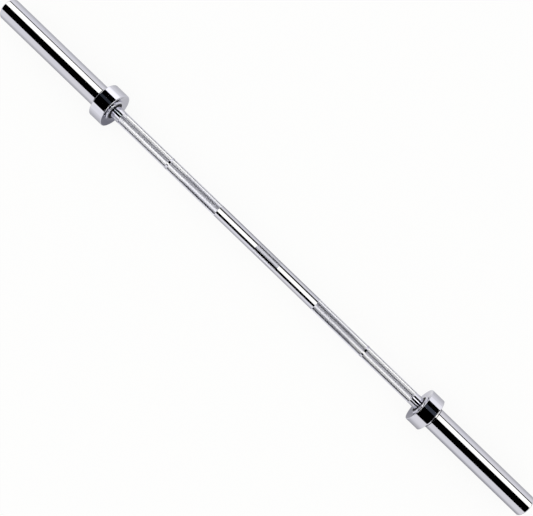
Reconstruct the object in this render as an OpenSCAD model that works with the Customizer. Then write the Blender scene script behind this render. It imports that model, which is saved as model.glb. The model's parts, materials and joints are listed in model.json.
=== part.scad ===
// Short olympic barbell, 1.5 m long, with a rotating sleeve at each end.
// The bar lies along X with its middle at the origin. All sizes are millimetres.
// Each sleeve turns on two bushings. It is trapped between the shaft's shoulder and a
// circlip near the shaft's end, and a recessed cap closes it.

/* [Shaft] */
// Length of bare shaft between the two collars
grip_length = 884; // [750:1:1400]
// Diameter of the smooth shaft
shaft_d = 28.5; // [26:0.1:30]
// Height of the knurl's crests over the smooth shaft
knurl_rise = 0.2; // [0.1:0.05:0.25]
// Length of the smooth band beside each collar
smooth_band = 22; // [10:1:60]
// Length of the knurl in the middle of the bar
centre_knurl_length = 63; // [40:1:120]
// Length of the gap between the left and right grip knurls
grip_knurl_gap = 282; // [200:1:400]
// Distance between the middles of the two ring marks
ring_mark_spacing = 564; // [460:1:620]
// Width of each ring mark
ring_mark_width = 5; // [3:0.5:8]
// Radial step from the shaft down to the journal inside the sleeve
shoulder_step = 1.75; // [1:0.05:2.5]
// Depth of the shaft's shoulder behind the collar's inner face
shoulder_depth = 8; // [7.5:0.1:12]
// Chamfer on the shoulder
shoulder_chamfer = 0.5; // [0.2:0.1:0.8]
// Chamfer on the shaft's ends
shaft_end_chamfer = 1; // [0.5:0.1:2]

/* [Sleeve] */
// Outer diameter of the sleeve, which the weight plates slide onto
sleeve_d = 50; // [48:0.1:52]
// Loadable length, from the collar's outer face to the sleeve's end
load_length = 275; // [180:1:450]
// Wall of the sleeve where the bushings sit
sleeve_wall = 6; // [5.3:0.1:6.6]
// Radial step that stops each bushing in the bore
seat_step = 1; // [0.5:0.1:2]
// Chamfer at the inner mouth of the bore
mouth_chamfer = 0.8; // [0.4:0.1:0.9]
// Radial step from the sleeve down to its nose, which stands up from the collar's dished face
nose_step = 1.5; // [1:0.1:1.7]
// Round on the nose's edge
nose_round = 2.5; // [1:0.1:2.6]
// Depth of the narrow gap around the nose, below the dish
nose_gap = 2; // [1:0.1:3]
// Chamfer at the outer mouth of the bore, around the cap
end_chamfer = 0.8; // [0.4:0.1:1]
// Round on the outer edge of the sleeve's end
sleeve_end_round = 2.5; // [1:0.1:2.7]
// Width of the relief groove beside the collar
relief_width = 1.5; // [1:0.1:3]
// Depth of the relief groove
relief_depth = 0.8; // [0.3:0.1:1]

/* [Collar] */
// Outer diameter of the collar
collar_d = 82; // [70:0.5:95]
// Width of the collar along the bar
collar_width = 33; // [20:0.5:45]
// Round on the collar's inner and outer edges
collar_round = 1; // [0.5:0.1:1.9]
// Radius of the concave foot between the collar and the sleeve
foot_radius = 6; // [3:0.1:8]
// Height of the foot's thin end over the sleeve
foot_edge = 0.25; // [0.1:0.05:0.5]
// Depth of the dish in the collar's inner face, where it meets the nose
face_dish = 4.5; // [2:0.1:6]
// Width of the flat rim around the dish
face_rim = 3; // [2:0.1:6]

/* [Bushings, washers and seal] */
// Length of each bushing
bushing_length = 30; // [18:0.5:45]
// Chamfer on the bushings' outer edges
bushing_chamfer = 0.8; // [0.3:0.1:1.2]
// Radial running clearance between the journal and the bushings
running_clearance = 0.05; // [0.02:0.01:0.1]
// Thickness of the thrust washers
washer_t = 2; // [1:0.1:3]
// Radial clearance of the washers and the seal around the shaft
loose_clearance = 0.3; // [0.2:0.05:0.5]
// Radial clearance of the washers in the bore
washer_rim_clearance = 0.2; // [0.1:0.05:0.4]
// Axial play of the sleeve at each end
end_play = 0.3; // [0.2:0.05:0.6]
// Depth of the dust seal behind the collar's inner face
seal_depth = 1; // [0.9:0.1:2]
// Thickness of the dust seal
seal_t = 5; // [3:0.1:5.4]
// Depth of the hollow in the seal's face
seal_dish = 1; // [0.5:0.1:1.5]
// Width of the seal's rim, and of its lip, around the hollow
seal_rim = 1.2; // [0.8:0.1:1.5]

/* [Shaft circlip] */
// Thickness of the circlip on the shaft
clip_t = 1.2; // [1:0.05:1.6]
// Radial width of the circlip opposite its gap
clip_width = 3.6; // [2.5:0.1:4]
// Depth of its groove in the journal
clip_groove_depth = 0.55; // [0.4:0.05:0.8]
// Distance from the groove to the shaft's end
clip_end_margin = 3.5; // [2.5:0.1:6]

/* [End cap and its circlip] */
// Thickness of the end cap
cap_t = 5; // [3:0.1:8]
// Wall of the sleeve around the cap
cap_wall = 4; // [3.6:0.1:4.4]
// Radial clearance of the cap in its seat
cap_clearance = 0.05; // [0.03:0.01:0.15]
// Depth of the shallow dish in the cap's face
cap_dish = 1; // [0.4:0.1:1.5]
// Width of the flat rim around the dish
cap_rim = 6; // [5:0.1:9]
// Chamfer on the cap's rim
cap_chamfer = 0.6; // [0.3:0.1:1]
// Thickness of the circlip that holds the cap
cap_clip_t = 1.75; // [1:0.05:2.5]
// Radial width of that circlip opposite its gap
cap_clip_width = 3.6; // [3:0.1:4.5]
// Depth of its groove in the sleeve
cap_clip_groove_depth = 1.25; // [0.8:0.05:1.6]
// Distance from the sleeve's end to the circlip
cap_clip_inset = 2.5; // [1.5:0.1:4]
// Free space between the shaft's end and the cap
shaft_end_gap = 4; // [2:0.1:10]

/* [Circlip details] */
// Axial clearance of a circlip in its groove
clip_clearance = 0.1; // [0.05:0.05:0.3]
// Radius of the lugs that the pliers hold
lug_r = 2.4; // [2:0.1:2.6]
// Diameter of the hole in each lug
lug_hole_d = 2; // [1.5:0.1:2.5]
// Width of the gap between the lugs
lug_gap = 2.4; // [1.5:0.1:3]
// Distance between the centres of a circlip's two circles
clip_offset = 0.7; // [0.4:0.1:0.9]

/* [Hidden] */
fine = 128;
arc_fine = 48;
overcut = 1;

// Radii, measured from the bar's axis
shaft_r = shaft_d / 2;
knurl_r = shaft_r + knurl_rise;
journal_r = shaft_r - shoulder_step;
clip_groove_r = journal_r - clip_groove_depth;
bushing_bore_r = journal_r + running_clearance;
washer_bore_r = journal_r + loose_clearance;
seal_bore_r = shaft_r + loose_clearance;
sleeve_r = sleeve_d / 2;
nose_r = sleeve_r - nose_step;
seat_r = sleeve_r - sleeve_wall;
middle_bore_r = seat_r - seat_step;
washer_r = seat_r - washer_rim_clearance;
cap_seat_r = sleeve_r - cap_wall;
cap_r = cap_seat_r - cap_clearance;
cap_clip_groove_r = cap_seat_r + cap_clip_groove_depth;
foot_edge_r = sleeve_r + foot_edge;
collar_r = collar_d / 2;
dish_r = collar_r - face_rim;

// Places along the right half of the bar, measured from its middle
collar_inner = grip_length / 2;
collar_outer = collar_inner + collar_width;
dish_end = collar_inner + face_dish;
nose_end = dish_end + nose_gap;
sleeve_end = collar_outer + load_length;
grip_knurl_start = grip_knurl_gap / 2;
grip_knurl_end = collar_inner - smooth_band;
ring_mark_start = (ring_mark_spacing - ring_mark_width) / 2;
ring_mark_end = ring_mark_start + ring_mark_width;
foot_end = collar_outer + foot_radius;
relief_end = foot_end + relief_width;
shoulder = collar_inner + shoulder_depth;
seal_start = collar_inner + seal_depth;
seal_end = seal_start + seal_t;
inner_washer_start = shoulder + end_play;
inner_bushing_start = inner_washer_start + washer_t;
inner_seat_end = inner_bushing_start + bushing_length;
cap_clip_start = sleeve_end - cap_clip_inset - cap_clip_t;
cap_start = cap_clip_start - cap_t;
shaft_end = cap_start - shaft_end_gap;
clip_groove_end = shaft_end - clip_end_margin;
clip_start = clip_groove_end - clip_t;
outer_washer_start = clip_start - end_play - washer_t;
outer_bushing_start = outer_washer_start - bushing_length;

KNURL_BANDS = [
    [0, centre_knurl_length / 2],
    [grip_knurl_start, ring_mark_start],
    [ring_mark_end, grip_knurl_end]
];

STEEL = "silver";
CHROME = "gainsboro";
BRONZE = "peru";
RUBBER = "dimgray";
SPRING_STEEL = "slategray";

SIDES = ["left", "right"];
SIDE_PIECES = [
    "sleeve", "collar", "dust_seal", "inner_washer", "inner_bushing",
    "outer_bushing", "outer_washer", "shaft_circlip", "end_cap", "cap_circlip"
];

// Turns a half profile about the bar's axis. A profile has the radius across and the place
// along the bar upwards.
module turned() {
    rotate([0, 90, 0]) rotate_extrude($fn = fine) children();
}

// Flat outline, square to the bar, made into a plate
module plate(from, thickness) {
    translate([from, 0, 0]) rotate([0, 90, 0]) linear_extrude(thickness) children();
}

module on_side(side) {
    if (side == "right") children();
    else mirror([1, 0, 0]) children();
}

module ring_profile(inner_r, outer_r, from, to) {
    translate([inner_r, from]) square([outer_r - inner_r, to - from]);
}

// Takes a round off a profile's corner. The signs point from the corner into the material.
module round_off(corner, radius, sign_r, sign_x) {
    translate(corner) difference() {
        translate([sign_r > 0 ? -overcut : -radius, sign_x > 0 ? -overcut : -radius])
            square(radius + overcut);
        translate([sign_r * radius, sign_x * radius]) circle(radius, $fn = arc_fine);
    }
}

// Takes a chamfer off a profile's corner. The signs point from the corner into the material.
module chamfer_off(corner, size, sign_r, sign_x) {
    reach = size + overcut;
    translate(corner) polygon([
        [sign_r * reach, -sign_x * overcut],
        [-sign_r * overcut, sign_x * reach],
        [-sign_r * overcut, -sign_x * overcut]
    ]);
}

// Outer half of the shaft's profile, from the bar's middle to one end
module shaft_profile() {
    difference() {
        union() {
            ring_profile(0, journal_r, 0, shaft_end);
            ring_profile(0, shaft_r, 0, shoulder);
            for (band = KNURL_BANDS) ring_profile(0, knurl_r, band[0], band[1]);
        }
        ring_profile(clip_groove_r, journal_r + overcut, clip_start - clip_clearance, clip_groove_end);
        chamfer_off([shaft_r, shoulder], shoulder_chamfer, -1, -1);
        chamfer_off([journal_r, shaft_end], shaft_end_chamfer, -1, -1);
    }
}

// One steel bar with three knurled bands a side, turned down to a journal at each end
module shaft() {
    color(STEEL) turned() {
        shaft_profile();
        mirror([0, 1]) shaft_profile();
    }
}

// Tube that carries the plates, bored for the bushings and the cap
module sleeve() {
    color(CHROME) turned() difference() {
        ring_profile(middle_bore_r, sleeve_r, collar_inner, sleeve_end);
        ring_profile(0, seat_r, collar_inner - overcut, inner_seat_end);
        ring_profile(0, seat_r, outer_bushing_start, sleeve_end + overcut);
        ring_profile(0, cap_seat_r, cap_start, sleeve_end + overcut);
        ring_profile(
            0, cap_clip_groove_r, cap_clip_start - clip_clearance, cap_clip_start + cap_clip_t
        );
        ring_profile(sleeve_r - relief_depth, sleeve_r + overcut, foot_end, relief_end);
        ring_profile(nose_r, sleeve_r + overcut, collar_inner - overcut, nose_end);
        chamfer_off([seat_r, collar_inner], mouth_chamfer, 1, 1);
        round_off([nose_r, collar_inner], nose_round, -1, 1);
        chamfer_off([cap_seat_r, sleeve_end], end_chamfer, 1, -1);
        round_off([sleeve_r, sleeve_end], sleeve_end_round, -1, -1);
    }
}

// Wide ring that stops the plates, with a dished inner face and a concave foot on its outer side
module collar() {
    color(CHROME) turned() {
        difference() {
            ring_profile(sleeve_r, collar_r, collar_inner, collar_outer);
            round_off([collar_r, collar_inner], collar_round, -1, 1);
            round_off([collar_r, collar_outer], collar_round, -1, -1);
            polygon([
                [sleeve_r, dish_end],
                [dish_r, collar_inner],
                [dish_r, collar_inner - overcut],
                [sleeve_r - overcut, collar_inner - overcut],
                [sleeve_r - overcut, dish_end]
            ]);
        }
        difference() {
            ring_profile(sleeve_r, foot_edge_r + foot_radius, collar_outer, foot_end);
            translate([foot_edge_r + foot_radius, foot_end]) circle(foot_radius, $fn = arc_fine);
        }
    }
}

// Ring in the mouth of the bore, with a hollow between its rim and its lip
module dust_seal() {
    color(RUBBER) turned() difference() {
        ring_profile(seal_bore_r, seat_r, seal_start, seal_end);
        ring_profile(
            seal_bore_r + seal_rim, seat_r - seal_rim, seal_start - overcut, seal_start + seal_dish
        );
    }
}

module washer(from) {
    color(STEEL) turned() ring_profile(washer_bore_r, washer_r, from, from + washer_t);
}

module inner_washer() {
    washer(inner_washer_start);
}

module outer_washer() {
    washer(outer_washer_start);
}

module bushing(from) {
    to = from + bushing_length;
    color(BRONZE) turned() difference() {
        ring_profile(bushing_bore_r, seat_r, from, to);
        chamfer_off([seat_r, from], bushing_chamfer, -1, 1);
        chamfer_off([seat_r, to], bushing_chamfer, -1, -1);
    }
}

module inner_bushing() {
    bushing(inner_bushing_start);
}

module outer_bushing() {
    bushing(outer_bushing_start);
}

// Places a lug's outline on each side of a circlip's gap, at a distance from the axis
module at_lugs(distance) {
    aside = lug_gap / 2 + lug_r;
    for (sign = [-1, 1]) translate([-sqrt(distance ^ 2 - aside ^ 2), sign * aside]) children();
}

// Gap and plier holes, which both kinds of circlip have
module clip_cuts(distance, reach) {
    translate([-reach, -lug_gap / 2]) square([reach, lug_gap]);
    at_lugs(distance) circle(d = lug_hole_d, $fn = arc_fine);
}

// Circlip that grips the groove in the journal, with its lugs outside
module shaft_circlip() {
    lug_distance = clip_groove_r + lug_r;
    outer_r = clip_groove_r + clip_width - clip_offset;
    color(SPRING_STEEL) plate(clip_start, clip_t) difference() {
        union() {
            translate([clip_offset, 0]) circle(outer_r, $fn = fine);
            at_lugs(lug_distance) circle(lug_r, $fn = arc_fine);
        }
        circle(clip_groove_r, $fn = fine);
        clip_cuts(lug_distance, lug_distance + lug_r + overcut);
    }
}

// Circlip that springs out into the sleeve's groove, with its lugs inside
module cap_circlip() {
    lug_distance = cap_clip_groove_r - lug_r;
    inner_r = cap_clip_groove_r - cap_clip_width + clip_offset;
    color(SPRING_STEEL) plate(cap_clip_start, cap_clip_t) difference() {
        union() {
            difference() {
                circle(cap_clip_groove_r, $fn = fine);
                translate([-clip_offset, 0]) circle(inner_r, $fn = fine);
            }
            at_lugs(lug_distance) circle(lug_r, $fn = arc_fine);
        }
        clip_cuts(lug_distance, cap_clip_groove_r + overcut);
    }
}

// Dished disc that closes the sleeve
module end_cap() {
    color(CHROME) turned() difference() {
        ring_profile(0, cap_r, cap_start, cap_clip_start);
        ring_profile(-overcut, cap_r - cap_rim, cap_clip_start - cap_dish, cap_clip_start + overcut);
        chamfer_off([cap_r, cap_clip_start], cap_chamfer, -1, -1);
    }
}

shaft();
for (side = SIDES) on_side(side) {
    sleeve();
    collar();
    dust_seal();
    inner_washer();
    inner_bushing();
    outer_bushing();
    outer_washer();
    shaft_circlip();
    end_cap();
    cap_circlip();
}
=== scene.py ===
"""Looks of a short olympic barbell: mirror chrome sleeves and collars on a knurled shaft.

The bar lies along X with its middle at the origin. Lengths are metres.
Sizes that the frame holds are read from it, and the rest are named before their first use.
"""

import json
import math

import bpy
from mathutils import Matrix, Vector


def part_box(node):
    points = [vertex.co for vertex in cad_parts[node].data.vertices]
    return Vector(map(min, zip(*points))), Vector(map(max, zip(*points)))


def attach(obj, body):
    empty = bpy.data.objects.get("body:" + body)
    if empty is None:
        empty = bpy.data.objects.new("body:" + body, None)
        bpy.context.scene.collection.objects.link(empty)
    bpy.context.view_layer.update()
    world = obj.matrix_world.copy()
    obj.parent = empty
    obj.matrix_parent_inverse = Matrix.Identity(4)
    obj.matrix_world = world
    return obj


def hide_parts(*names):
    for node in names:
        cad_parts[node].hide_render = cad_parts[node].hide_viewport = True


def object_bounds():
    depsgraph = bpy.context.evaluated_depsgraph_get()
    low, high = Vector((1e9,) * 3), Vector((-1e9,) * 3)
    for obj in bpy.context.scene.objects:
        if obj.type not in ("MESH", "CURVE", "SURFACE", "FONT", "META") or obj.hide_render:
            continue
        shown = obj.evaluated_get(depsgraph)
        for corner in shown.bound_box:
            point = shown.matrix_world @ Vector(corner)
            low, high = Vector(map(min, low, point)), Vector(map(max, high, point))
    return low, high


MM = 0.001

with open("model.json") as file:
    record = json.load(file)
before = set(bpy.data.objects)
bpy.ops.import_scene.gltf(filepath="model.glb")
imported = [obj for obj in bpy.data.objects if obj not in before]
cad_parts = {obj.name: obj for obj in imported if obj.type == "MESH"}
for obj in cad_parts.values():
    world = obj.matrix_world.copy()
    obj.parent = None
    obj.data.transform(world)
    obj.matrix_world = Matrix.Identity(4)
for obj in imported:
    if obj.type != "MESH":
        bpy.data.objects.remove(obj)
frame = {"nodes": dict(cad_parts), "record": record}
cad_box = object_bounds()

SIDES = {"left": -1, "right": 1}


# Places along the right half of the bar and radii, read from the frame

def start(node):
    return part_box(node + "_right")[0].x


def end(node):
    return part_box(node + "_right")[1].x


def radius(node):
    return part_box(node + "_right")[1].z


CAP_CLEARANCE = 0.05 * MM

SHAFT_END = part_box("shaft")[1].x
CREST_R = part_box("shaft")[1].z
COLLAR_INNER = start("collar")
FOOT_END = end("collar")
COLLAR_R = radius("collar")
SLEEVE_END = end("sleeve")
SLEEVE_R = radius("sleeve")
SEAT_R = radius("outer_bushing")
INNER_SEAT_END = end("inner_bushing")
OUTER_SEAT_START = start("outer_bushing")
CAP_START = start("end_cap")
CAP_SEAT_R = radius("end_cap") + CAP_CLEARANCE
CAP_CLIP_START = start("cap_circlip")
CAP_CLIP_END = end("cap_circlip")
CAP_GROOVE_R = radius("cap_circlip")
SEAL_START = start("dust_seal")
SEAL_END = end("dust_seal")
SHAFT_CLIP_START = start("shaft_circlip")
SHAFT_CLIP_END = end("shaft_circlip")

# Sizes that the frame does not hold
SMOOTH_R = CREST_R - 0.2 * MM
JOURNAL_R = SMOOTH_R - 1.75 * MM
CLIP_GROOVE_R = JOURNAL_R - 0.55 * MM
SHOULDER = COLLAR_INNER + 8 * MM
FOOT_RADIUS = 6 * MM
FOOT_EDGE = 0.25 * MM
COLLAR_OUTER = FOOT_END - FOOT_RADIUS
DISH_END = COLLAR_INNER + 4.5 * MM
DISH_R = COLLAR_R - 3 * MM
NOSE_END = DISH_END + 2 * MM
NOSE_R = SLEEVE_R - 1.5 * MM
RELIEF_END = FOOT_END + 1.5 * MM
RELIEF_DEPTH = 0.8 * MM
SEAT_STEP = 1 * MM
SEAL_BORE_R = SMOOTH_R + 0.3 * MM
CLIP_CLEARANCE = 0.1 * MM


# Camera: it looks straight down at the bar, which runs from upper left to lower right

PICTURE_W = 533
FOCAL_PX = 716.2
BAR_ANGLE = 43.94
CAMERA_PLACE = (0.105, -0.0015, 1.499)
# Where the camera's axis meets the picture, in pixels right of and below its middle
AXIS_RIGHT_PX = 36.27
AXIS_DOWN_PX = 34.93


def make_camera():
    data = bpy.data.cameras.new("camera")
    data.lens = FOCAL_PX / PICTURE_W * data.sensor_width
    data.shift_x = -AXIS_RIGHT_PX / PICTURE_W
    data.shift_y = AXIS_DOWN_PX / PICTURE_W
    camera = bpy.data.objects.new("camera", data)
    bpy.context.scene.collection.objects.link(camera)
    turn = Matrix.Rotation(math.radians(BAR_ANGLE), 4, "Z")
    camera.matrix_world = Matrix.Translation(CAMERA_PLACE) @ turn
    bpy.context.scene.camera = camera


# Materials: their patterns follow the object's own coordinates, so they turn with the sleeves

def new_material(name, colour, roughness, metallic):
    material = bpy.data.materials.new(name)
    material.use_nodes = True
    tree = material.node_tree
    shader = next(n for n in tree.nodes if n.type == "BSDF_PRINCIPLED")
    shader.inputs["Base Color"].default_value = (*colour, 1)
    shader.inputs["Roughness"].default_value = roughness
    shader.inputs["Metallic"].default_value = metallic
    return material, tree, shader


def add(tree, kind, **settings):
    """Adds a node. A setting that names one of its inputs goes there, and else on the node.
    A socket as the value is linked."""
    node = tree.nodes.new(kind)
    for key, value in settings.items():
        socket = node.inputs.get(key)
        if socket is None:
            setattr(node, key, value)
        elif isinstance(value, bpy.types.NodeSocket):
            tree.links.new(value, socket)
        else:
            socket.default_value = value
    return node


def math_node(tree, operation, *values):
    node = add(tree, "ShaderNodeMath", operation=operation)
    for socket, value in zip(node.inputs, values):
        if isinstance(value, bpy.types.NodeSocket):
            tree.links.new(value, socket)
        else:
            socket.default_value = value
    return node.outputs[0]


def noise(tree, scale, stretch=(1, 1, 1), detail=3.0):
    """Noise over the object's coordinates, finer along an axis whose stretch is larger."""
    place = add(tree, "ShaderNodeTexCoord")
    spread = add(tree, "ShaderNodeMapping", Vector=place.outputs["Object"], Scale=stretch)
    cloud = add(tree, "ShaderNodeTexNoise", Vector=spread.outputs[0], Scale=scale, Detail=detail)
    return cloud.outputs[0]


def between(tree, value, low, high, out_low, out_high):
    """Maps a value's range onto another, and holds it inside."""
    ramp = add(tree, "ShaderNodeMapRange", Value=value)
    for socket, number in zip(list(ramp.inputs)[1:5], (low, high, out_low, out_high)):
        socket.default_value = number
    return ramp.outputs[0]


def radial_place(tree):
    """Distance from the bar's axis."""
    place = add(tree, "ShaderNodeTexCoord")
    parts = add(tree, "ShaderNodeSeparateXYZ", Vector=place.outputs["Object"])
    squares = [math_node(tree, "MULTIPLY", parts.outputs[k], parts.outputs[k]) for k in "YZ"]
    return math_node(tree, "SQRT", math_node(tree, "ADD", *squares))


def bump(tree, shader, height, distance):
    node = add(tree, "ShaderNodeBump", Height=height, Distance=distance, Strength=1.0)
    tree.links.new(node.outputs[0], shader.inputs["Normal"])


def roughen(tree, shader, pattern, low, high, smooth, rough):
    """Lets the roughness run between two values as the pattern runs from low to high."""
    tree.links.new(between(tree, pattern, low, high, smooth, rough), shader.inputs["Roughness"])


def tint(tree, shader, mask, colour_low, colour_high):
    """Mixes two colours by a mask that runs from 0 to 1."""
    mix = add(tree, "ShaderNodeMix", data_type="RGBA")
    tree.links.new(mask, mix.inputs["Factor"])
    for socket, colour in ((mix.inputs[6], colour_low), (mix.inputs[7], colour_high)):
        socket.default_value = (*colour, 1)
    tree.links.new(mix.outputs[2], shader.inputs["Base Color"])


CHROME = (0.62, 0.62, 0.69)
CHROME_WARM = (0.635, 0.63, 0.685)
# The dark tone that the knurl's painted shade runs towards.
KNURL_SHADE_TONE = (0.2, 0.2, 0.22)
# The knurl's chrome is the same chrome made brighter: painted light, which makes up for light
# lost between its facets.
BRIGHTENED_KNURL_CHROME = (0.75, 0.75, 0.82)


def chrome(name, gloss, haze, scratches):
    """Bright chrome with a faint cloudy tint and hair scratches along and around the bar."""
    material, tree, shader = new_material(name, CHROME, gloss, 1.0)
    cloud = noise(tree, 18, detail=2.0)
    tint(tree, shader, between(tree, cloud, 0.35, 0.65, 0, 1), CHROME, CHROME_WARM)
    around = noise(tree, 60, stretch=(40, 1, 1))
    along = noise(tree, 90, stretch=(0.4, 12, 12))
    marks = math_node(tree, "MAXIMUM", between(tree, around, 0.64, 0.74, 0, 1),
                      between(tree, along, 0.66, 0.78, 0, 1))
    smear = between(tree, cloud, 0.4, 0.7, gloss, gloss + haze)
    rough = math_node(tree, "MULTIPLY_ADD", marks, scratches, smear)
    tree.links.new(rough, shader.inputs["Roughness"])
    return material


def knurl_steel():
    """Satin chrome, made brighter than the smooth chrome: painted light. It is darker in the
    valleys and over the whole centre knurl: painted shade, as much as the mesh gives each point.
    """
    material, tree, shader = new_material("knurl_chrome", BRIGHTENED_KNURL_CHROME, 0.08, 1.0)
    share = add(tree, "ShaderNodeAttribute", attribute_name="painted_shade").outputs["Fac"]
    grain = noise(tree, 900)
    # Painted shade: the mesh's share, with a grain through it, darkens the colour towards the
    # dark tone.
    painted_shade = math_node(tree, "MULTIPLY", share, between(tree, grain, 0.3, 0.7, 0.05, 0.2))
    tint(tree, shader, painted_shade, BRIGHTENED_KNURL_CHROME, KNURL_SHADE_TONE)
    roughen(tree, shader, grain, 0.3, 0.7, 0.03, 0.1)
    return material


TURNING_PITCH = 0.45 * MM
TURNING_DEPTH = 0.012 * MM


def turned_chrome():
    """Chrome over fine turning rings."""
    material, tree, shader = new_material("cap_chrome", CHROME, 0.16, 1.0)
    turns = math_node(tree, "MULTIPLY", radial_place(tree), 2 * math.pi / TURNING_PITCH)
    grain = noise(tree, 300)
    rings = math_node(tree, "MULTIPLY_ADD", grain, 0.5, math_node(tree, "SINE", turns))
    bump(tree, shader, rings, TURNING_DEPTH)
    cloud = between(tree, noise(tree, 90), 0.35, 0.7, 0, 1)
    tint(tree, shader, cloud, (0.6, 0.6, 0.66), (0.5, 0.5, 0.54))
    roughen(tree, shader, grain, 0.3, 0.7, 0.12, 0.24)
    return material


GRINDING_PITCH = 0.3 * MM
GRINDING_DEPTH = 0.01 * MM


def ground_steel():
    """Steel with wavering grinding lines round the axis and darker patches."""
    material, tree, shader = new_material("washer_steel", (0.52, 0.52, 0.54), 0.3, 1.0)
    waver = noise(tree, 1.0, stretch=(0, 1, 1))
    turns = math_node(tree, "MULTIPLY", radial_place(tree), 2 * math.pi / GRINDING_PITCH)
    lines = math_node(tree, "SINE", math_node(tree, "MULTIPLY_ADD", waver, 4.0, turns))
    bump(tree, shader, lines, GRINDING_DEPTH)
    patches = between(tree, noise(tree, 250), 0.3, 0.7, 0, 1)
    tint(tree, shader, patches, (0.56, 0.56, 0.58), (0.42, 0.41, 0.4))
    roughen(tree, shader, noise(tree, 500), 0.3, 0.7, 0.22, 0.4)
    return material


PORE_DEPTH = 0.05 * MM


def bronze():
    """Sintered bronze: grains with dark pores that hold oil."""
    material, tree, shader = new_material("bushing_bronze", (0.62, 0.42, 0.2), 0.35, 1.0)
    place = add(tree, "ShaderNodeTexCoord")
    cells = add(tree, "ShaderNodeTexVoronoi", Vector=place.outputs["Object"], Scale=2200)
    pores = between(tree, cells.outputs["Distance"], 0.2, 0.6, 0, 1)
    tint(tree, shader, pores, (0.66, 0.45, 0.22), (0.2, 0.12, 0.06))
    bump(tree, shader, pores, -PORE_DEPTH)
    roughen(tree, shader, noise(tree, 70), 0.35, 0.65, 0.22, 0.42)
    return material


PHOSPHATE_GRAIN = 0.02 * MM


def phosphate():
    """Phosphated spring steel: nearly black, with a fine dry grain and bright rubbed spots."""
    material, tree, shader = new_material("spring_steel", (0.09, 0.09, 0.1), 0.45, 1.0)
    rubbed = between(tree, noise(tree, 160), 0.6, 0.75, 0, 1)
    tint(tree, shader, rubbed, (0.085, 0.085, 0.095), (0.3, 0.3, 0.31))
    bump(tree, shader, noise(tree, 3000), PHOSPHATE_GRAIN)
    roughen(tree, shader, noise(tree, 1500), 0.3, 0.7, 0.35, 0.6)
    return material


RUBBER_GRAIN = 0.03 * MM


def rubber():
    """Moulded black rubber with a fine dry grain and a little dust."""
    material, tree, shader = new_material("seal_rubber", (0.02, 0.02, 0.022), 0.5, 0.0)
    dust = between(tree, noise(tree, 400), 0.5, 0.8, 0, 1)
    tint(tree, shader, dust, (0.006, 0.006, 0.0065), (0.018, 0.017, 0.017))
    bump(tree, shader, noise(tree, 2600), RUBBER_GRAIN)
    roughen(tree, shader, noise(tree, 700), 0.3, 0.7, 0.42, 0.62)
    return material


def painted_groove_shade():
    """Near-black rough chrome: painted shade on the faces in the sleeve's relief groove, bore
    and mouth and in the collar's bore.
    """
    material, tree, shader = new_material("groove_shade", (0.03, 0.03, 0.033), 0.45, 1.0)
    patches = between(tree, noise(tree, 260), 0.35, 0.7, 0, 1)
    tint(tree, shader, patches, (0.02, 0.02, 0.022), (0.06, 0.06, 0.064))
    roughen(tree, shader, noise(tree, 600), 0.3, 0.7, 0.35, 0.6)
    return material


MATERIALS = {
    "shaft_chrome": chrome("shaft_chrome", 0.02, 0.015, 0.05),
    "sleeve_chrome": chrome("sleeve_chrome", 0.012, 0.012, 0.05),
    "collar_chrome": chrome("collar_chrome", 0.012, 0.01, 0.03),
    "cap_chrome": turned_chrome(),
    "bushing_bronze": bronze(),
    "washer_steel": ground_steel(),
    "spring_steel": phosphate(),
    "seal_rubber": rubber(),
}
KNURL = knurl_steel()
# The near-black material of painted shade in grooves and bores.
GROOVE_SHADE = painted_groove_shade()


def dress_nodes():
    for row in frame["record"]["subparts"]:
        node = frame["nodes"][row["node"]]
        node.data.materials.clear()
        node.data.materials.append(MATERIALS[row["material_slot"]])


# Turned pieces: a profile of corners, each with the place along the bar and the radius, is
# turned about the bar's axis.

COLUMNS = 132
ROUND_STEPS = 8
HOLLOW_STEPS = 16
SUPPORT = 0.15 * MM
LONG = 2 * MM
SHARP_ANGLE = math.radians(24)


def rounded(corners):
    """Points of a closed profile. A corner is (x, r), (x, r, "chamfer", size) or
    (x, r, "round", size)."""
    points = []
    for i, corner in enumerate(corners):
        here = corner[:2]
        if len(corner) == 2:
            points.append(here)
            continue
        kind, size = corner[2:]
        before, after = corners[i - 1][:2], corners[(i + 1) % len(corners)][:2]
        into = unit(before, here)
        out = unit(after, here)
        if kind == "chamfer":
            points += [shifted(here, into, size), shifted(here, out, size)]
            continue
        # The corners that are rounded are square, so the centre lies on both directions.
        centre = shifted(shifted(here, into, size), out, size)
        for step in range(ROUND_STEPS + 1):
            turn = math.pi / 2 * step / ROUND_STEPS
            point = shifted(centre, out, -size * math.cos(turn))
            points.append(shifted(point, into, -size * math.sin(turn)))
    return points


def unit(to, here):
    length = math.dist(to, here)
    return ((to[0] - here[0]) / length, (to[1] - here[1]) / length)


def shifted(point, direction, length):
    return (point[0] + direction[0] * length, point[1] + direction[1] * length)


def concave(centre, size):
    """Points of a hollow quarter circle, from beside its centre to under it."""
    turns = [math.pi / 2 * k / HOLLOW_STEPS for k in range(HOLLOW_STEPS + 1)]
    return [(centre[0] - size * math.cos(a), centre[1] - size * math.sin(a)) for a in turns]


def supported(points):
    """Adds a point near both ends of each long straight run, which keeps its shading flat."""
    out = []
    for here, after in zip(points, points[1:] + points[:1]):
        out.append(here)
        if math.dist(here, after) > LONG:
            along = unit(after, here)
            out += [shifted(here, along, SUPPORT), shifted(after, along, -SUPPORT)]
    return out


def ring_points(x, r):
    turns = [2 * math.pi * k / COLUMNS for k in range(COLUMNS)]
    return [(x, r * math.cos(a), r * math.sin(a)) for a in turns]


def finish_mesh(name, points, faces):
    mesh = bpy.data.meshes.new(name)
    mesh.from_pydata(points, [], faces)
    mesh.polygons.foreach_set("use_smooth", [True] * len(faces))
    mesh.set_sharp_from_angle(angle=SHARP_ANGLE)
    return mesh


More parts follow.
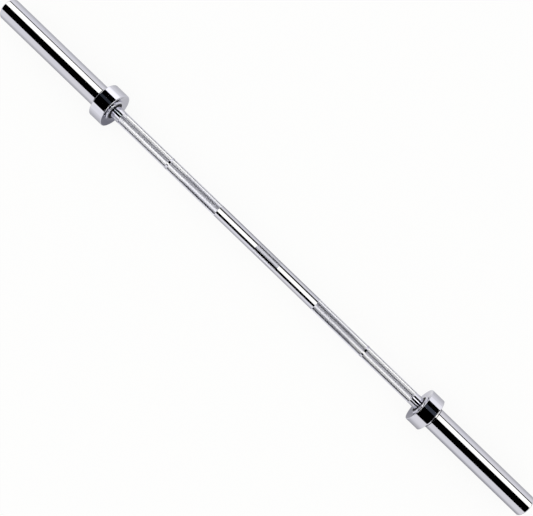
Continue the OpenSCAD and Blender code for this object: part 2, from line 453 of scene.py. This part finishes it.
def place(name, mesh, body, node, slot, *more_materials):
    piece = bpy.data.objects.new(name, mesh)
    bpy.context.scene.collection.objects.link(piece)
    for material in (MATERIALS[slot], *more_materials):
        mesh.materials.append(material)
    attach(piece, body)
    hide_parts(node)
    return piece


def turned(name, corners, side, node, slot, in_groove=None):
    """Turns a profile. in_groove says for a place and a radius whether they lie in a groove, and
    faces there take the near-black material: painted shade.
    """
    sign = SIDES[side]
    profile = supported(rounded(corners))
    points = [p for x, r in profile for p in ring_points(sign * x, r)]
    faces, materials = [], []
    for ring, (x, r) in enumerate(profile):
        after = (ring + 1) % len(profile)
        middle = ((x + profile[after][0]) / 2, (r + profile[after][1]) / 2)
        # Faces in a groove take painted shade.
        shaded = int(in_groove is not None and in_groove(*middle))
        near, far = ring * COLUMNS, after * COLUMNS
        for k in range(COLUMNS):
            m = (k + 1) % COLUMNS
            face = (near + k, far + k, far + m, near + m)
            faces.append(face if sign > 0 else face[::-1])
            materials.append(shaded)
    mesh = finish_mesh(name, points, faces)
    place(name, mesh, f"{side}_sleeve", node, slot, *([GROOVE_SHADE] if in_groove else []))
    mesh.polygons.foreach_set("material_index", materials)


MOUTH_CHAMFER = 0.8 * MM
NOSE_ROUND = 2.5 * MM
END_CHAMFER = 0.8 * MM
END_ROUND = 2.5 * MM
COLLAR_ROUND = 1 * MM
SKIN = 0.01 * MM


def make_sleeve(side):
    relief_r = SLEEVE_R - RELIEF_DEPTH
    corners = [
        (COLLAR_INNER, SEAT_R, "chamfer", MOUTH_CHAMFER),
        (COLLAR_INNER, NOSE_R, "round", NOSE_ROUND),
        (DISH_END, NOSE_R),
        (NOSE_END, NOSE_R),
        (NOSE_END, SLEEVE_R),
        (FOOT_END, SLEEVE_R),
        (FOOT_END, relief_r),
        (RELIEF_END, relief_r),
        (RELIEF_END, SLEEVE_R),
        (SLEEVE_END, SLEEVE_R, "round", END_ROUND),
        (SLEEVE_END, CAP_SEAT_R, "chamfer", END_CHAMFER),
        (CAP_CLIP_END, CAP_SEAT_R),
        (CAP_CLIP_END, CAP_GROOVE_R),
        (CAP_CLIP_START - CLIP_CLEARANCE, CAP_GROOVE_R),
        (CAP_CLIP_START - CLIP_CLEARANCE, CAP_SEAT_R),
        (CAP_START, CAP_SEAT_R),
        (CAP_START, SEAT_R),
        (OUTER_SEAT_START, SEAT_R),
        (OUTER_SEAT_START, SEAT_R - SEAT_STEP),
        (INNER_SEAT_END, SEAT_R - SEAT_STEP),
        (INNER_SEAT_END, SEAT_R),
    ]

    # The relief groove, the bore and the mouth take painted shade.
    def in_groove(x, r):
        in_relief = FOOT_END - SKIN < x < RELIEF_END + SKIN and r < SLEEVE_R - SKIN
        in_bore = r < SEAT_R + SKIN
        in_mouth = x < COLLAR_INNER + MOUTH_CHAMFER - SKIN and r < SEAT_R + MOUTH_CHAMFER - SKIN
        return in_relief or in_bore or in_mouth

    node = f"sleeve_{side}"
    turned(f"chrome_{node}", corners, side, node, "sleeve_chrome", in_groove)


def make_collar(side):
    foot_r = SLEEVE_R + FOOT_EDGE + FOOT_RADIUS
    corners = [
        (DISH_END, SLEEVE_R),
        (COLLAR_INNER, DISH_R),
        (COLLAR_INNER, COLLAR_R, "round", COLLAR_ROUND),
        (COLLAR_OUTER, COLLAR_R, "round", COLLAR_ROUND),
        *concave((FOOT_END, foot_r), FOOT_RADIUS),
        (FOOT_END, SLEEVE_R),
        (NOSE_END, SLEEVE_R),
    ]

    # The collar's bore takes painted shade.
    def in_groove(x, r):
        return x > NOSE_END and r < SLEEVE_R + SKIN

    node = f"collar_{side}"
    turned(f"chrome_{node}", corners, side, node, "collar_chrome", in_groove)


SEAL_HOLLOW = 1 * MM
SEAL_RIM = 1.2 * MM
LIP_ROUND = 0.4 * MM


def make_dust_seal(side):
    """Rubber ring whose rim and lip stand round a hollow."""
    inner, outer = SEAL_BORE_R + SEAL_RIM, SEAT_R - SEAL_RIM
    corners = [
        (SEAL_START, SEAL_BORE_R, "round", LIP_ROUND),
        (SEAL_START, inner, "round", LIP_ROUND),
        (SEAL_START + SEAL_HOLLOW, inner),
        (SEAL_START + SEAL_HOLLOW, outer),
        (SEAL_START, outer, "round", LIP_ROUND),
        (SEAL_START, SEAT_R),
        (SEAL_END, SEAT_R),
        (SEAL_END, SEAL_BORE_R),
    ]
    node = f"dust_seal_{side}"
    turned(f"moulded_{node}", corners, side, node, "seal_rubber")


# The shaft with its knurl

# The length of two rows, and the crests' and the valleys' radius and share of painted shade
GRIP_KNURL = (2.42 * MM, (CREST_R, CREST_R - 0.39 * MM), (0, 1))
CENTRE_KNURL = (0.6 * MM, (SMOOTH_R + 0.04 * MM, SMOOTH_R - 0.005 * MM), (2.2, 2.6))
CENTRE_KNURL_END = 31.5 * MM
GRIP_KNURL_START = 141 * MM
RING_MARK_START = 279.5 * MM
RING_MARK_END = 284.5 * MM
GRIP_KNURL_END = COLLAR_INNER - 22 * MM
KNURL_RUN_OUT = 0.3 * MM
SHOULDER_CHAMFER = 0.5 * MM
SHAFT_END_CHAMFER = 1 * MM


def make_shaft():
    """The knurl's crests and valleys take turns along and around the bar."""
    rings = []

    def plain(x, r):
        rings.append((x, [r] * COLUMNS, [0] * COLUMNS, False))

    def knurl(start, end, long, radii, painted_shade):
        rows = 2 * round((end - start) / long)
        for row in range(rows + 1):
            low = [(row + k) % 2 for k in range(COLUMNS)]
            x = start + (end - start) * row / rows
            rings.append((x, [radii[k] for k in low], [painted_shade[k] for k in low], True))

    half = [
        (SHOULDER - SHOULDER_CHAMFER, SMOOTH_R),
        (SHOULDER, SMOOTH_R - SHOULDER_CHAMFER),
        (SHOULDER, JOURNAL_R),
        (SHAFT_CLIP_START - CLIP_CLEARANCE, JOURNAL_R),
        (SHAFT_CLIP_START - CLIP_CLEARANCE, CLIP_GROOVE_R),
        (SHAFT_CLIP_END, CLIP_GROOVE_R),
        (SHAFT_CLIP_END, JOURNAL_R),
        (SHAFT_END - SHAFT_END_CHAMFER, JOURNAL_R),
        (SHAFT_END, JOURNAL_R - SHAFT_END_CHAMFER),
    ]
    grip = [(GRIP_KNURL_START, RING_MARK_START), (RING_MARK_END, GRIP_KNURL_END)]
    bands = [(-b, -a, GRIP_KNURL) for a, b in reversed(grip)]
    bands += [(-CENTRE_KNURL_END, CENTRE_KNURL_END, CENTRE_KNURL)]
    bands += [(a, b, GRIP_KNURL) for a, b in grip]

    for x, r in reversed(half):
        plain(-x, r)
    for a, b, shape in bands:
        plain(a, SMOOTH_R)
        knurl(a + KNURL_RUN_OUT, b - KNURL_RUN_OUT, *shape)
        plain(b, SMOOTH_R)
    for x, r in half:
        plain(x, r)

    turns = [2 * math.pi * k / COLUMNS for k in range(COLUMNS)]
    points = [
        (x, r * math.cos(a), r * math.sin(a))
        for x, radii, _, _ in rings
        for a, r in zip(turns, radii)
    ]
    faces, knurled = [], []
    for ring in range(len(rings) - 1):
        radii = rings[ring][1]
        rough = rings[ring][3] or rings[ring + 1][3]
        for k in range(COLUMNS):
            m = (k + 1) % COLUMNS
            a, b = ring * COLUMNS + k, ring * COLUMNS + m
            c, d = b + COLUMNS, a + COLUMNS
            if not rough:
                faces.append((a, d, c, b))
            elif radii[k] >= radii[m]:
                faces += [(a, d, b), (b, d, c)]
            else:
                faces += [(a, c, b), (a, d, c)]
            knurled += [int(rough)] * (2 if rough else 1)
    last = (len(rings) - 1) * COLUMNS
    faces += [tuple(range(COLUMNS)), tuple(reversed(range(last, last + COLUMNS)))]
    knurled += [0, 0]
    mesh = finish_mesh("knurled_shaft", points, faces)
    mesh.polygons.foreach_set("use_smooth", [not k for k in knurled])
    place("knurled_shaft", mesh, "shaft", "shaft", "shaft_chrome", KNURL)
    mesh.polygons.foreach_set("material_index", knurled)
    # The share of painted shade for each point, which the knurl's material reads.
    shares = mesh.attributes.new("painted_shade", "FLOAT", "POINT")
    shares.data.foreach_set("value", [v for _, _, painted_shade, _ in rings for v in painted_shade])


# Studio: a white floor and a white surround, with cards that only reflections see. A card
# bends round the bar. A row of cards has its two ends along the bar, and for each card the two
# angles in degrees from straight up towards -Y and the glow, or a glow for either angle, where
# 1 is white. Light that leaves a second mirror face sees a second row of cards instead.

CARD_R = 1.3
CARD_DEGREES = 1.0
CARDS_END = 3.5
FLOOR_SIZE = 30
SOFT_BOX = (1.7, 1.7, 1.53)
BLACK = (0, 0, 0)


def grey(value):
    return (value, value, value)


NAVY_LEFT = (0.031, 0.037, 0.046)
NAVY_RIGHT = (0.052, 0.061, 0.078)

# Cards for the smooth band beside each collar
STUB_LEFT = [
    (-88, -54, grey(1.3), grey(1.55)), (-54, -18, BLACK), (-18, -5, (1.3, 1.44, 1.37)),
    (-5, 33, BLACK), (33, 46, grey(1.7)), (46, 60, grey(1.1)), (60, 92, grey(0.55)),
]
STUB_RIGHT = [
    (-80, -59, grey(1.4)), (-59, -21.5, BLACK), (-21.5, -7, grey(2.3)), (-7, 32, BLACK),
    (32, 41, grey(1.9)), (41, 71, BLACK), (71, 88, grey(0.8)),
]

CARDS = [
    # Over the left sleeve, its collar and the smooth band beside it
    (-CARDS_END, -0.982, [
        (-88, -68.5, grey(0.97), grey(1.13)), (-68.5, -58.5, BLACK), (-58.5, -14, SOFT_BOX),
        (-14, 48, BLACK),
    ]),
    (-0.982, -0.914, [
        (-89, -79, grey(1.2), grey(1.45)), (-79, -52, grey(1.55)), (-52, -20.5, BLACK),
        (-20.5, -5.4, NAVY_LEFT), (-5.4, 49, BLACK), (49, 56, grey(1.25)), (56, 90, grey(1.13)),
    ]),
    (-0.914, -0.874, STUB_LEFT),
    # Over the shaft between the smooth bands
    (-0.874, -0.6, [
        (-85, -40, grey(1.3)), (-40, 6, BLACK), (8, 33, SOFT_BOX), (33, 50, BLACK),
        (50, 80, grey(1.1)),
    ]),
    (-0.6, -0.355, [
        (-88, -72, grey(1.1)), (-72, -44, BLACK), (-44, 10, grey(1.02)), (10, 62, BLACK),
        (62, 90, grey(1.5)),
    ]),
    (-0.355, 0.172, [
        (-66, -40, BLACK), (-40, 19, SOFT_BOX), (19, 60, BLACK), (60, 85, grey(1.12)),
    ]),
    (0.172, 0.415, [
        (-88, -72, grey(1.1)), (-72, -44, BLACK), (-44, 10, grey(1.12)), (10, 62, BLACK),
        (62, 90, grey(1.6)),
    ]),
    (0.415, 0.692, [
        (-85, -54, grey(1.3)), (-54, 7, BLACK), (8, 42, SOFT_BOX), (45, 78, BLACK),
    ]),
    # Over the right smooth band, collar and sleeve
    (0.692, 0.731, STUB_RIGHT),
    (0.731, 0.8, [
        (-89, -60, grey(1.2), grey(1.32)), (-60, -31, BLACK), (-31, -11, NAVY_RIGHT),
        (-11, 54, BLACK), (54, 88, grey(1.04)),
    ]),
    (0.8, CARDS_END, [
        (-88, -71, grey(0.97), grey(1.1)), (-71, -60, BLACK), (-60, -19, SOFT_BOX),
        (-19, 47, BLACK),
    ]),
]

TWICE_R = 1.35
TWICE_DEPTH = 1.5
TWICE_CARDS = [
    (-CARDS_END, -0.5, STUB_RIGHT),
    (-0.5, 0.1, STUB_LEFT),
    (0.1, 0.5, STUB_RIGHT),
    (0.5, CARDS_END, STUB_LEFT),
]


def new_tree(name):
    material = bpy.data.materials.new(name)
    material.use_nodes = True
    material.node_tree.nodes.clear()
    return material, material.node_tree


def shader_out(tree, shader):
    out = tree.nodes.new("ShaderNodeOutputMaterial")
    tree.links.new(shader, out.inputs["Surface"])


def mixed(tree, share, first, second):
    mix = add(tree, "ShaderNodeMixShader", Fac=share)
    tree.links.new(first, mix.inputs[1])
    tree.links.new(second, mix.inputs[2])
    return mix.outputs[0]


def card_material(name, twice):
    """Glows in the mesh's own colour, for light that met one mirror face or more than one."""
    material, tree = new_tree(name)
    glow = add(tree, "ShaderNodeAttribute", attribute_name="glow")
    light = add(tree, "ShaderNodeEmission", Color=glow.outputs["Color"])
    clear = add(tree, "ShaderNodeBsdfTransparent")
    path = add(tree, "ShaderNodeLightPath")
    test = "LESS_THAN" if twice else "GREATER_THAN"
    hides = math_node(tree, test, path.outputs["Glossy Depth"], TWICE_DEPTH)
    shader_out(tree, mixed(tree, hides, light.outputs[0], clear.outputs[0]))
    return material


def only_reflected(name, mesh):
    piece = bpy.data.objects.new(name, mesh)
    bpy.context.scene.collection.objects.link(piece)
    piece.visible_camera = False
    piece.visible_diffuse = False
    piece.visible_shadow = False
    piece.visible_transmission = False


def strip_faces(base, steps):
    """Faces of a strip whose points lie in pairs, from base on."""
    return [(k, k + 1, k + 3, k + 2) for k in range(base, base + 2 * steps, 2)]


def make_cards(name, zones, radius, twice):
    points, faces, glows = [], [], []
    for low, high, cards in zones:
        for a0, a1, glow0, *rest in cards:
            glow1 = rest[0] if rest else glow0
            steps = max(1, round((a1 - a0) / CARD_DEGREES))
            base = len(points)
            for k in range(steps + 1):
                share = k / steps
                a = math.radians(a0 + (a1 - a0) * share)
                y, z = -radius * math.sin(a), radius * math.cos(a)
                points += [(low, y, z), (high, y, z)]
                glows += [p + (q - p) * share for p, q in zip(glow0, glow1)] * 2
            faces += strip_faces(base, steps)
    mesh = bpy.data.meshes.new(name)
    mesh.from_pydata(points, [], faces)
    mesh.attributes.new("glow", "FLOAT_VECTOR", "POINT").data.foreach_set("vector", glows)
    mesh.materials.append(card_material(name, twice))
    only_reflected(name, mesh)


SHADE_STEPS = 60
SHADE_TINT = (0, 0, 0.04, 1)
SHADE_LIFT = 0.2 * MM
SHADE_REACH = 0.45
SHADE_END = 0.95
FACE_SHADE_START = 0.36

# Places along the bar, and how deep the shade is on the -Y side and on the +Y side
SHADES = [
    (-SHADE_END, -COLLAR_INNER, 0.76, 0.62),
    (-FACE_SHADE_START, FACE_SHADE_START, 0.7, 0.85),
    (COLLAR_INNER, SHADE_END, 0.95, 0.68),
]
SHADE_FADE = 0.115
FACE_SHADES = [
    (-COLLAR_INNER, -FACE_SHADE_START, 0.75, 0.28),
    (FACE_SHADE_START, COLLAR_INNER, 0.58, 0.1),
]
FACE_SHADE_Y = 27 * MM
FACE_SHADE_HALF_WIDTH = 24 * MM


def make_floor_shade():
    """Soft shade on the floor that only reflections see: it darkens the bar's outline, and it
    lies in two stripes before the collars' inner faces."""
    floor_z = cad_box[0].z + SHADE_LIFT
    points, faces, shades = [], [], []

    def strip(low, high, shade):
        base = len(points)
        for k in range(-SHADE_STEPS, SHADE_STEPS + 1):
            # The steps are finer near the bar.
            y = SHADE_REACH * k * abs(k) / SHADE_STEPS**2
            points.extend([(low, y, floor_z), (high, y, floor_z)])
            shades.extend([shade(y)] * 2)
        faces.extend(strip_faces(base, 2 * SHADE_STEPS))

    def fading(y):
        return math.exp(-abs(y) / SHADE_FADE)

    def stripe(y):
        return math.exp(-((abs(y) - FACE_SHADE_Y) / FACE_SHADE_HALF_WIDTH) ** 4)

    for rows, fall in ((SHADES, fading), (FACE_SHADES, stripe)):
        for low, high, near, far in rows:
            strip(low, high, lambda y: (near if y < 0 else far) * fall(y))
    mesh = bpy.data.meshes.new("floor_shade")
    mesh.from_pydata(points, [], faces)
    mesh.attributes.new("shade", "FLOAT", "POINT").data.foreach_set("value", shades)
    material, tree = new_tree("floor_shade")
    amount = add(tree, "ShaderNodeAttribute", attribute_name="shade")
    clear = add(tree, "ShaderNodeBsdfTransparent")
    dark = add(tree, "ShaderNodeEmission", Color=SHADE_TINT)
    shader_out(tree, mixed(tree, amount.outputs["Fac"], clear.outputs[0], dark.outputs[0]))
    mesh.materials.append(material)
    only_reflected("floor_shade", mesh)


FLOOR_LIFT_SEEN = 0.9
FLOOR_LIFT_REFLECTED = 0.9


def floor_material():
    """White to the camera, with a part of the real shadow left in."""
    material, tree = new_tree("floor")
    paint = add(tree, "ShaderNodeBsdfDiffuse", Color=(0.97, 0.97, 0.965, 1))
    white = add(tree, "ShaderNodeEmission", Color=(0.99, 0.99, 0.985, 1), Strength=1.0)
    path = add(tree, "ShaderNodeLightPath")
    rays = [path.outputs[f"Is {kind} Ray"] for kind in ("Glossy", "Transmission")]
    reflected = math_node(tree, "MAXIMUM", *rays)
    share = math_node(tree, "MULTIPLY", path.outputs["Is Camera Ray"], FLOOR_LIFT_SEEN)
    share = math_node(tree, "MULTIPLY_ADD", reflected, FLOOR_LIFT_REFLECTED, share)
    shader_out(tree, mixed(tree, share, paint.outputs[0], white.outputs[0]))
    return material


def make_studio():
    scene = bpy.context.scene
    scene.view_settings.view_transform = "Standard"
    world = bpy.data.worlds.new("studio")
    world.use_nodes = True
    background = world.node_tree.nodes["Background"]
    background.inputs["Color"].default_value = (1, 1, 1, 1)
    background.inputs["Strength"].default_value = 1.0
    scene.world = world

    low, half = cad_box[0].z, FLOOR_SIZE / 2
    corners = [(-half, -half, low), (half, -half, low), (half, half, low), (-half, half, low)]
    mesh = bpy.data.meshes.new("floor")
    mesh.from_pydata(corners, [], [(0, 1, 2, 3)])
    mesh.materials.append(floor_material())
    floor = bpy.data.objects.new("floor", mesh)
    scene.collection.objects.link(floor)
    make_cards("studio_cards", CARDS, CARD_R, twice=False)
    make_cards("studio_cards_twice", TWICE_CARDS, TWICE_R, twice=True)
    make_floor_shade()


make_camera()
dress_nodes()
make_shaft()
for side in SIDES:
    make_sleeve(side)
    make_collar(side)
    make_dust_seal(side)
make_studio()
